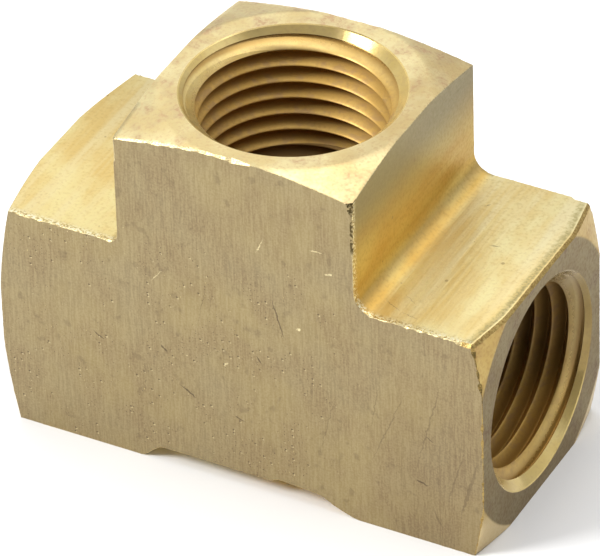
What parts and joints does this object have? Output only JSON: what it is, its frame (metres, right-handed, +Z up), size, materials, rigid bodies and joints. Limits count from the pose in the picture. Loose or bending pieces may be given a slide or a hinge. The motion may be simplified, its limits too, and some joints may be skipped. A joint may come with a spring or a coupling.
{
  "type": "female pipe tee fitting",
  "caption": "Brass pipe tee sawn from extruded bar, with three internally threaded ports that join a straight run to a branch at right angles.",
  "frame": {"origin": "on the plane that the two feet stand on, straight below the point where the run and branch axes cross", "axes": "+X along the run towards its right port, +Y through the sawn thickness from front to back, +Z up along the branch axis"},
  "size_m": [0.0518, 0.0254, 0.0385],
  "materials": {
    "brass": "bare, unplated brass: sawn front and back, extruded sides, turned and chamfered ends, tapped threads"
  },
  "bodies": {
    "root": {"tee_body": "brass"}
  },
  "joints": []
}
